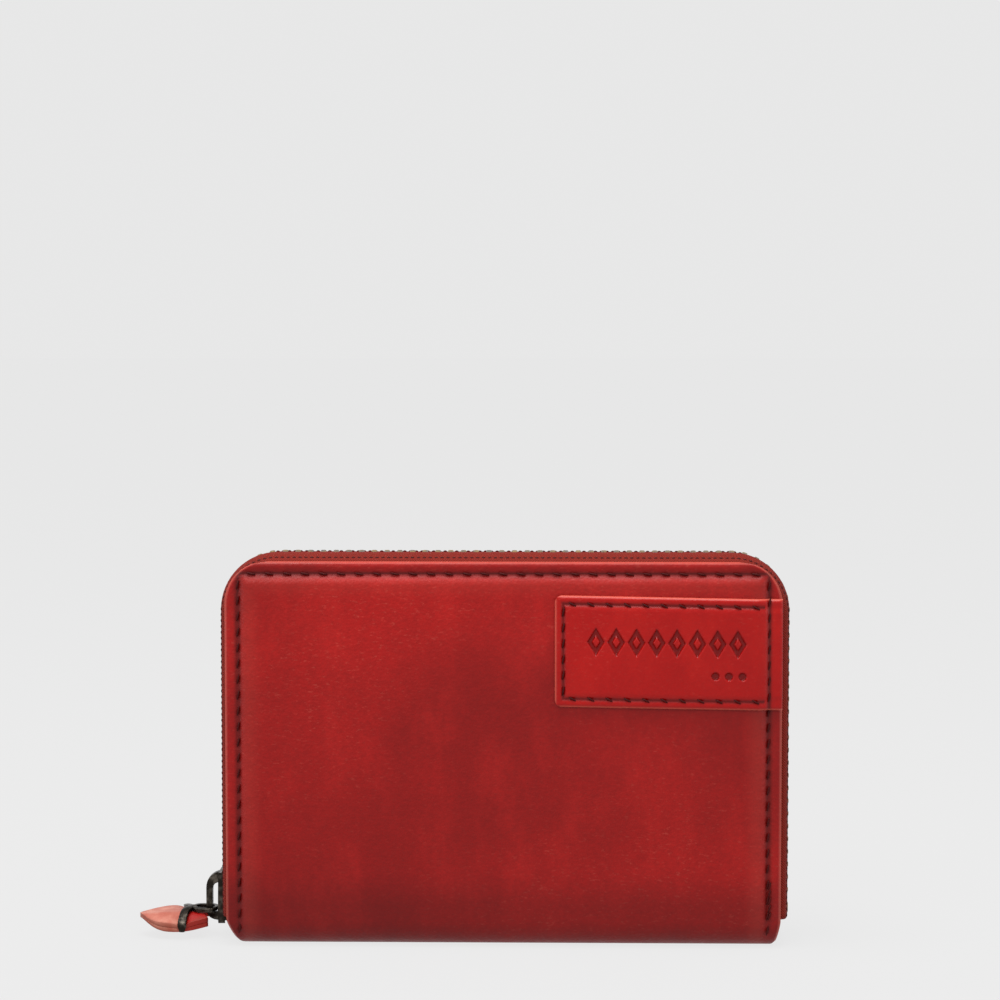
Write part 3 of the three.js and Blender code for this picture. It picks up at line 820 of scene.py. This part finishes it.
def slider_outline(place):
    """The rims draw in a little towards the closed chain and are rounded off at both ends."""
    if abs(place.y) < slider_rim:
        return place
    up = (place.z - slider_low.z) / (slider_high.z - slider_low.z)
    from_end = min(place.z - slider_low.z, slider_high.z - place.z)
    past = max(0.0, 1 - from_end / slider_corner)
    draw = slider_waist * ease(up, 0.35, 0.95) + 0.0007 * (1 - math.sqrt(1 - past**2))
    return Vector((place.x, place.y - math.copysign(min(draw, 0.0007), place.y), place.z))


slider_cuts = [slider_low.z + slider_corner * i / 4 for i in (1, 2, 3, 4)]
slider_cuts += [slider_high.z - slider_corner * i / 4 for i in (4, 3, 2, 1)]
slider_cuts.append((slider_low.z + slider_high.z) / 2)
rolled(
    "slider", "slider_body", "slider", gunmetal, 0.0002, slider_cuts, slider_outline
)
rolled("coin_zip_slider", "coin_slider", "coin_slider", gunmetal, 0.00012)
rolled("coin_zip_tab", "coin_puller", "coin_puller", gunmetal, 0.00015)


# ---------------------------------------------------------------------------
# Puller clip: a flat eye round the slider's bridge, and two arms that part from it, run out over
# the leaf and hook down over its sides, which they dent. The puller's front is bent a little down.

clip_low, clip_high = (Vector(c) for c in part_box("puller_clip"))
pivot = Vector((clip_high.x - 0.00045, 0, clip_high.z - 0.00045))
front_droop = 0.0018
clip_skin = 0.0009
eye_half = 0.0027
eye_hole_half = 0.00152
eye_end = pivot.x - 0.0055
arm_width = 0.0020
arm_reach = clip_high.y - clip_skin
arm_end = clip_low.x + arm_width / 2
hook_turn = 0.0008
arm_dip = 0.0009  # the arms press this far into the leaf's sides


def bend_down(bm):
    """Bends the front of a piece of the puller down, as it has been worn."""
    for v in bm.verts:
        v.co.z -= front_droop * ease(-v.co.y, 0.0012, 0.0066)


def eye_ring(bm, reach, half):
    """A loop of points round the eye, reach past its middle fore and aft and half to each side."""
    ring = bmesh.ops.create_circle(bm, segments=32, radius=1)["verts"]
    middle = (clip_high.x + eye_end) / 2
    for v in ring:
        fore = math.copysign(math.sqrt(abs(v.co.x)), v.co.x)
        v.co = (middle + fore * reach, v.co.y * half, clip_high.z)
    return ring


bm = bmesh.new()
eye_reach = (clip_high.x - eye_end) / 2
eye_ring(bm, eye_reach, eye_half)
eye_ring(bm, eye_reach - clip_skin, eye_hole_half)
bmesh.ops.bridge_loops(bm, edges=bm.edges[:])
bmesh.ops.recalc_face_normals(bm, faces=bm.faces)
if sum(face.normal.z for face in bm.faces) < 0:
    bmesh.ops.reverse_faces(bm, faces=bm.faces)
bend_down(bm)
eye = put_in_scene("clip_eye", bm, gunmetal, smooth=False)
thicken(eye, clip_skin)
soften = eye.modifiers.new("rolled_edges", "BEVEL")
soften.width = 0.0002
soften.segments = 2
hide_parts("puller_clip")
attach(eye, "puller")


def arm_at(run, side):
    """The arm's middle line, 0 to 1 from the eye to the hook's tip, and the way its face looks."""
    start = eye_end + 0.0008
    if run < 0.65:
        swing = run / 0.65 * math.pi / 2
        x = start + (arm_end - start) * math.sin(swing)
        y = side * (arm_reach - hook_turn) * (1 - math.cos(swing))
        z = clip_high.z - arm_dip * (1 - math.cos(swing))
        return Vector((x, y, z)), Vector((0, 0, 1))
    if run < 0.85:
        over = (run - 0.65) / 0.2 * math.pi / 2
        y = side * (arm_reach - hook_turn + hook_turn * math.sin(over))
        z = clip_high.z - arm_dip - hook_turn * (1 - math.cos(over))
        return Vector((arm_end, y, z)), Vector((0, side * math.sin(over), math.cos(over)))
    drop = arm_dip + hook_turn + (run - 0.85) / 0.15 * 0.0014
    return Vector((arm_end, side * arm_reach, clip_high.z - drop)), Vector((0, side, 0))


for side, arm_name in ((-1, "clip_arm_front"), (1, "clip_arm_back")):
    bm = bmesh.new()
    bmesh.ops.create_grid(bm, x_segments=44, y_segments=8, size=0.5)
    for v in bm.verts:
        run = v.co.x + 0.5
        middle, face = arm_at(run, side)
        ahead = arm_at(min(1, run + 0.01), side)[0] - arm_at(max(0, run - 0.01), side)[0]
        across = face.cross(ahead.normalized())
        tip = 1 - 0.4 * ease(run, 0.85, 1)
        crown = 0.00018 * (1 - (2 * v.co.y) ** 2)
        v.co = middle + across * v.co.y * arm_width * tip + face * crown
    bend_down(bm)
    arm = put_in_scene(arm_name, bm, gunmetal)
    thicken(arm, clip_skin)
    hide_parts("puller_clip")
    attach(arm, "puller")


# ---------------------------------------------------------------------------
# Puller leaf: two skins of the red leather glued back to back and cut as a leaf, held by the clip.
# It is painted pale with a painted sheen on its faces, shows its plain red near the clip, where that
# painted sheen stops, and its cut edges are brown.

leaf_leather = Finish("puller_hide", Roughness=0.45, Specular_IOR_Level=0.3)
# Painted sheen: the pale salmon colours stand in for a sheen on the leaf's faces, mottled by noise.
leaf_sheen_mottle = leaf_leather.ramp(leaf_leather.noise(260, 4, 0.6), 0.35, 0.7)
leaf_colour = leaf_leather.blend(leaf_sheen_mottle, rgb(166, 90, 74), rgb(190, 126, 108))
# Near the clip the painted sheen stops and the plain red shows, where the leaf faces the purse's dark
# side.
leaf_colour = leaf_leather.blend(leaf_leather.mark("red"), leaf_colour, rgb(152, 19, 14))
leaf_colour = leaf_leather.blend(leaf_leather.mark("rim"), leaf_colour, rgb(112, 46, 28))
leaf_leather.feed("Base Color", leaf_colour)
leaf_leather.bump(leaf_leather.noise(1600, 4, 0.65), 0.3, 0.0002)

leaf_low, leaf_high = (Vector(c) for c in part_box("puller_leather"))
leaf_length = leaf_high.x - leaf_low.x
leaf_half = leaf_high.y
leaf_root = 0.0038
leaf_notch = 0.0020  # how far the root's corners reach past its middle, beside the bridge
leaf_skin = (leaf_high.z - leaf_low.z) / 2 - 0.00005
leaf_dent = 0.0006  # how far the clip's arms press into it
middle_height = (leaf_high.z + leaf_low.z) / 2


def leaf_half_width(t):
    """The leaf's half width, from its root, t = 0, to its round tip, t = 1."""
    swell = leaf_root + (leaf_half - leaf_root) * math.sin(min(1, t / 0.4) * math.pi / 2)
    return max(0.0002, swell * max(0.0, 1 - max(0.0, (t - 0.4) / 0.6) ** 2) ** 0.72)


def leaf_layer(name, top):
    bm = bmesh.new()
    bmesh.ops.create_grid(bm, x_segments=60, y_segments=32, size=0.5)
    for v in bm.verts:
        t = 1 - (0.5 - v.co.x) ** 1.6
        y = -2 * v.co.y * leaf_half_width(t)
        forward = leaf_notch * (1 - t) ** 4 * (v.co.y * 2) ** 2
        v.co = (leaf_high.x - t * leaf_length + forward, y, top)
    made = bmesh.ops.extrude_face_region(bm, geom=bm.faces[:])["geom"]
    lower = [g for g in made if isinstance(g, bmesh.types.BMVert)]
    bmesh.ops.translate(bm, vec=(0, 0, -leaf_skin), verts=lower)
    bmesh.ops.remove_doubles(bm, verts=bm.verts, dist=1e-5)
    bmesh.ops.recalc_face_normals(bm, faces=bm.faces)
    corners = [
        e for e in bm.edges
        if e.is_manifold and abs(e.link_faces[0].normal.z - e.link_faces[1].normal.z) > 0.5
    ]
    bmesh.ops.bevel(
        bm, geom=corners, offset=0.0003, affect="EDGES", segments=3, profile=0.5, material=-1,
        clamp_overlap=True,
    )
    red, rim = [], []
    for v in bm.verts:
        t = min(1.0, max(0.0, (leaf_high.x - v.co.x) / leaf_length))
        edge = leaf_half_width(t) - abs(v.co.y)
        is_wall = v.co.z < top - 0.0001
        red.append(1 - ease(t, 0.24, 0.38))
        wall = 0.75 - 0.5 * red[-1]
        rim.append(wall if is_wall else 0.4 * ease(0.0006 - edge, 0, 0.0006))
        v.co.z -= (v.co.z - middle_height) * 0.5 * ease(t, 0.5, 1)
        pressed = ease(abs(v.co.y), 0.0012, 0.005) * on_line(v.co.x - arm_end, 0.0016)
        v.co.z -= leaf_dent * pressed * ease(v.co.z, leaf_low.z, leaf_high.z)
    bend_down(bm)
    layer = put_in_scene(name, bm, leaf_leather, red=red, rim=rim)
    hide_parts("puller_leather")
    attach(layer, "puller")


leaf_layer("leaf_upper_skin", leaf_high.z)
leaf_layer("leaf_lower_skin", leaf_low.z + leaf_skin)


# ---------------------------------------------------------------------------
# Boards: a sheet of bonded fibre board in each cover, glued between the hide and the lining.

board = Finish("board", Roughness=0.9)
fibres = board.noise(900, 4, 0.7)
board.feed("Base Color", board.blend(fibres, rgb(150, 132, 100), rgb(196, 180, 146)))
board.bump(fibres, 0.5, 0.0002)
for node in ("front_stiffener", "back_stiffener"):
    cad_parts[node].material_slots[0].material = board.made


# ---------------------------------------------------------------------------
# Linings: fine dark red cloth glued to the boards. It is one sheet from cover to cover; here it
# is two halves that meet along the spine's middle, as the hide is.

lining_cloth = Finish("lining_cloth", Roughness=0.9, Specular_IOR_Level=0.2)
lining_uv = lining_cloth.node("ShaderNodeUVMap", {})
warp = lining_cloth.node(
    "ShaderNodeTexWave", {"wave_type": "BANDS", "bands_direction": "X"}, lining_uv, 1.0, 0.6, 1.0
)
weft = lining_cloth.node(
    "ShaderNodeTexWave", {"wave_type": "BANDS", "bands_direction": "Y"}, lining_uv, 1.0, 0.6, 1.0
)
weave = warp * 0.5 + weft * 0.5
slub = lining_cloth.noise(300, 4)
lining_colour = lining_cloth.blend(weave, rgb(64, 10, 10), rgb(108, 24, 22))
lining_cloth.feed("Base Color", lining_cloth.blend(slub * 0.4, lining_colour, rgb(88, 16, 14)))
lining_cloth.bump(weave + slub * 0.3, 0.5, 0.00015)


lining_high = Vector(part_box("front_lining")[1])
lining_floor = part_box("spine_lining")[0][2] + 0.0003
lining_wall = -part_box("front_lining")[0][1] - 0.00025
lining_bend = 0.0038
lining_foot_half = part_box("spine_lining")[1][0]
lining_corner = 0.0082
lining_skin = 0.0004
lining_flat = lining_wall - lining_bend
lining_turn = lining_bend * math.pi / 2
lining_length = lining_flat + lining_turn + lining_high.z - lining_floor - lining_bend


def lining_at(along):
    if along < lining_flat:
        return along, lining_floor
    if along < lining_flat + lining_turn:
        angle = (along - lining_flat) / lining_bend
        rise = lining_bend * (1 - math.cos(angle))
        return lining_flat + lining_bend * math.sin(angle), lining_floor + rise
    return lining_wall, lining_floor + lining_bend + along - lining_flat - lining_turn


def lining_half(name, depth_sign, node):
    bm = cloth_grid(60, 60, 2 * lining_high.x, lining_length)
    for v in bm.verts:
        depth, z = lining_at((v.co.y + 0.5) * lining_length)
        half = lining_foot_half
        half += (lining_high.x - 0.0004 - lining_foot_half) * ease(z, 0.006, 0.011)
        drop = max(0.0, z - lining_high.z + lining_corner)
        half -= lining_corner - math.sqrt(max(0.0, lining_corner**2 - drop**2))
        v.co = (2 * v.co.x * half, -depth * depth_sign, z)
    piece = put_in_scene(name, bm, lining_cloth)
    thicken(piece, lining_skin, 0)
    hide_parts(node, "spine_lining")
    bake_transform(piece)


lining_half("front_lining_cloth", 1, "front_lining")
lining_half("back_lining_cloth", -1, "back_lining")


# ---------------------------------------------------------------------------
# Card slots: three strips of thin leather in each cover, each lapped over the one above it, with a
# creased line along the top edge. One row of stitches holds all three at each side and the foot.

inner_hide = red_hide(
    "inner_leather", rgb(132, 18, 16), rgb(150, 30, 26), rgb(96, 10, 8), 0.42, 0.3
)
slot_skin = 0.00042
slot_lap = 0.00047
slot_seam = 0.0018
slot_crease = 0.0016


def card_slot(side, index, depth_sign):
    node = f"{side}_card_slot_{index}"
    low, high = (Vector(c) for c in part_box(node))
    face = max(abs(low.y), abs(high.y)) - 0.0001 - (index - 1) * slot_lap - slot_skin
    bm = bmesh.new()
    bmesh.ops.create_grid(bm, x_segments=120, y_segments=44, size=0.5)
    seam, wear = [], []
    for v in bm.verts:
        x = 2 * v.co.x * high.x
        z = low.z + (v.co.y + 0.5) * (high.z - low.z)
        edge = min(high.x - abs(x), high.z - z)
        crease = on_line(high.z - z - slot_crease, 0.00035)
        pull = on_line(high.x - abs(x) - slot_seam, 0.0005)
        fill = 0.00012 * ease(high.x - abs(x), 0.003, 0.02)
        sink = 0.00016 * crease + 0.00014 * pull + 0.0002 * ease(0.0005 - edge, 0, 0.0005)
        v.co = (x, -(face + sink - fill) * depth_sign, z)
        # Painted shade in the crease along the top and in the stitch lines.
        seam.append(max(0.5 * crease, 0.7 * pull))
        wear.append(0.3 * ease(0.0005 - edge, 0, 0.0004))
    if depth_sign > 0:
        bmesh.ops.reverse_faces(bm, faces=bm.faces)
    piece = put_in_scene(f"{side}_slot_{index}", bm, inner_hide, seam=seam, wear=wear)
    thicken(piece, slot_skin)
    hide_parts(node)
    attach(piece, side)
    return low, high, face


for side, depth_sign in (("front", 1), ("back", -1)):
    bm = bmesh.new()
    inward = Vector((0, depth_sign, 0))
    for index in (1, 2, 3):
        low, high, face = card_slot(side, index, depth_sign)
        depth = -(face + 0.00008) * depth_sign
        top = high.z - slot_lap
        bottom = low.z + 0.001 if index == 3 else high.z - 0.013
        for z in evenly(bottom, top, stitch_side):
            for x in (high.x - slot_seam, slot_seam - high.x):
                add_stitch(bm, Vector((x, depth, z)), Vector((0, 0, 1)), inward)
    for x in evenly(slot_seam - high.x, high.x - slot_seam, stitch_top):
        add_stitch(bm, Vector((x, depth, low.z + slot_seam)), Vector((1, 0, 0)), inward)
    rows = put_in_scene(f"{side}_slot_stitches", bm, thread)
    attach(rows, side)


# ---------------------------------------------------------------------------
# Coin pocket: two thin leather panels over a folded cloth strip round three sides. It stands on the
# spine between the covers and has a small straight zip along its top.

panel_skin = 0.0007
panel_seam = 0.0022


def coin_panel(side, depth_sign):
    node = f"coin_pocket_{side}"
    low, high = (Vector(c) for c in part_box(node))
    face = max(abs(low.y), abs(high.y))
    bm = bmesh.new()
    bmesh.ops.create_grid(bm, x_segments=120, y_segments=80, size=0.5)
    seam, wear = [], []
    for v in bm.verts:
        x = 2 * v.co.x * high.x
        z = low.z + (v.co.y + 0.5) * (high.z - low.z)
        edge = min(high.x - abs(x), high.z - z, z - low.z)
        pull = on_line(edge - panel_seam, 0.0005)
        fill = 0.0011 * ease(high.x - abs(x), 0.011, 0.03) * ease(high.z - z, 0.004, 0.02)
        rise = fill * ease(z - low.z, 0.004, 0.02) - 0.0002 * pull
        rise -= 0.0003 * ease(0.0006 - edge, 0, 0.0006)
        v.co = (x, -(face + rise) * depth_sign, z)
        # Painted shade in the stitch line.
        seam.append(0.7 * pull)
        wear.append(0.3 * ease(0.0005 - edge, 0, 0.0004))
    if depth_sign < 0:
        bmesh.ops.reverse_faces(bm, faces=bm.faces)
    piece = put_in_scene(f"coin_panel_{side}", bm, inner_hide, seam=seam, wear=wear)
    thicken(piece, panel_skin)
    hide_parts(node)
    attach(piece, "spine")
    bm = bmesh.new()
    out = Vector((0, -depth_sign, 0))
    depth = -(face - 0.0001) * depth_sign
    reach = high.x - panel_seam
    for z in (low.z + panel_seam, high.z - panel_seam):
        for x in evenly(-reach, reach, stitch_top):
            add_stitch(bm, Vector((x, depth, z)), Vector((1, 0, 0)), out)
    for z in evenly(low.z + panel_seam, high.z - panel_seam, stitch_side):
        for x in (-reach, reach):
            add_stitch(bm, Vector((x, depth, z)), Vector((0, 0, 1)), out)
    rows = put_in_scene(f"coin_stitches_{side}", bm, thread)
    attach(rows, "spine")


coin_panel("front", 1)
coin_panel("back", -1)

strip_low, strip_high = (Vector(c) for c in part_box("coin_pocket_gusset"))
strip_corner = 0.003
strip_inset = 0.0005
strip_half = strip_high.x - strip_inset
strip_foot = strip_low.z + strip_inset
strip_side = strip_high.z - strip_foot - strip_corner
strip_turn = strip_corner * math.pi / 2
strip_base = 2 * (strip_half - strip_corner)
strip_length = 2 * strip_side + 2 * strip_turn + strip_base
strip_bow = 0.0014  # how far its fold is tucked in
strip_width = 2 * math.hypot(strip_high.y, strip_bow)


def strip_at(run, inward):
    """A point round the pocket's U, from its top left corner, moved in towards its middle."""
    if run > strip_length / 2:
        x, z = strip_at(strip_length - run, inward)
        return -x, z
    if run < strip_side:
        return -strip_half + inward, strip_high.z - run
    if run < strip_side + strip_turn:
        angle = (run - strip_side) / strip_corner
        reach = strip_corner - inward
        x = -strip_half + strip_corner - reach * math.cos(angle)
        return x, strip_foot + strip_corner - reach * math.sin(angle)
    return -strip_half + strip_corner + run - strip_side - strip_turn, strip_foot + inward


bm = cloth_grid(12, 160, strip_width, strip_length)
for v in bm.verts:
    inward = strip_bow * math.cos(math.pi * v.co.x)
    x, z = strip_at((v.co.y + 0.5) * strip_length, inward)
    v.co = (x, 2 * v.co.x * (strip_high.y - 0.0001), z)
pocket_strip = put_in_scene("coin_pocket_strip", bm, lining_cloth)
thicken(pocket_strip, lining_skin, 0)
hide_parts("coin_pocket_gusset")
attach(pocket_strip, "spine")

coin_pitch = 0.0024
coin_tooth = tooth_shape((0.0011, 0.0024, 0.0017))
coin_row_depth = 0.0009
coin_tape_skin = 0.00045
for side, depth_sign in (("front", 1), ("back", -1)):
    node = f"coin_zip_tape_{side}"
    low, high = (Vector(c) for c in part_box(node))
    coin_flat = (2 * high.x, high.z - low.z)
    bm = cloth_grid(80, 8, *coin_flat)
    for v in bm.verts:
        z = low.z + (v.co.y + 0.5) * coin_flat[1]
        sway = 0.00008 * math.sin(v.co.x * 31)
        v.co = (v.co.x * coin_flat[0], (low.y + high.y) / 2 + sway, z)
    coin_tape = put_in_scene(f"coin_tape_{side}", bm, zip_cloth)
    thicken(coin_tape, coin_tape_skin, 0)
    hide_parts(node)
    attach(coin_tape, "spine")

    node = f"coin_zip_teeth_{side}"
    low, high = (Vector(c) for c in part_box(node))
    bm = bmesh.new()
    inward = Vector((0, depth_sign, 0))
    turn_to = Matrix((inward.cross(Vector((0, 0, 1))), inward, (0, 0, 1))).transposed().to_4x4()
    first = low.x + coin_pitch * (0.3 if depth_sign > 0 else 0.8)
    for i in range(int((high.x - first) / coin_pitch) + 1):
        place = Vector((first + i * coin_pitch, -coin_row_depth * depth_sign, (low.z + high.z) / 2))
        add_copy(bm, coin_tooth, Matrix.Translation(place) @ turn_to)
    coin_row = put_in_scene(f"coin_teeth_{side}", bm, brass)
    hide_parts(node)
    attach(coin_row, "spine")


# ---------------------------------------------------------------------------
# Accordion gussets: a folded leaf of lining cloth at each end of the purse, on both sides of the
# coin pocket. Its near edge is sewn to the pocket and its far edge to the cover, so it fans out.

gusset_fold = 0.0012
gusset_skin = 0.00035


def accordion_gusset(side, end_name, depth_sign, end):
    node = f"gusset_{side}_{end_name}"
    low, high = (Vector(c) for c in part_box(node))
    near = min(abs(low.y), abs(high.y)) + 0.0002
    far = max(abs(low.y), abs(high.y)) - 0.0002
    outer = max(abs(low.x), abs(high.x))
    fold = min(abs(low.x), abs(high.x)) + 0.0003
    leaf_reach = outer - fold
    flat = (2 * math.hypot(leaf_reach, (far - near) / 2), high.z - low.z)
    bm = cloth_grid(48, 40, *flat)
    for v in bm.verts:
        z = low.z + (v.co.y + 0.5) * flat[1]
        away = abs(v.co.x) * 2
        rounded = math.sqrt(away**2 + (gusset_fold / leaf_reach) ** 2) - gusset_fold / leaf_reach
        depth = (near + far) / 2 + v.co.x * (far - near)
        depth += 0.0001 * math.sin(z * 240 + away * 3) * (1 - away)
        v.co = (end * (fold + leaf_reach * rounded), -depth * depth_sign, z)
    piece = put_in_scene(f"{side}_{end_name}_gusset", bm, lining_cloth)
    thicken(piece, gusset_skin, 0)
    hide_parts(node)
    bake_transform(piece)


for side, depth_sign in (("front", 1), ("back", -1)):
    accordion_gusset(side, "left", depth_sign, -1)
    accordion_gusset(side, "right", depth_sign, 1)
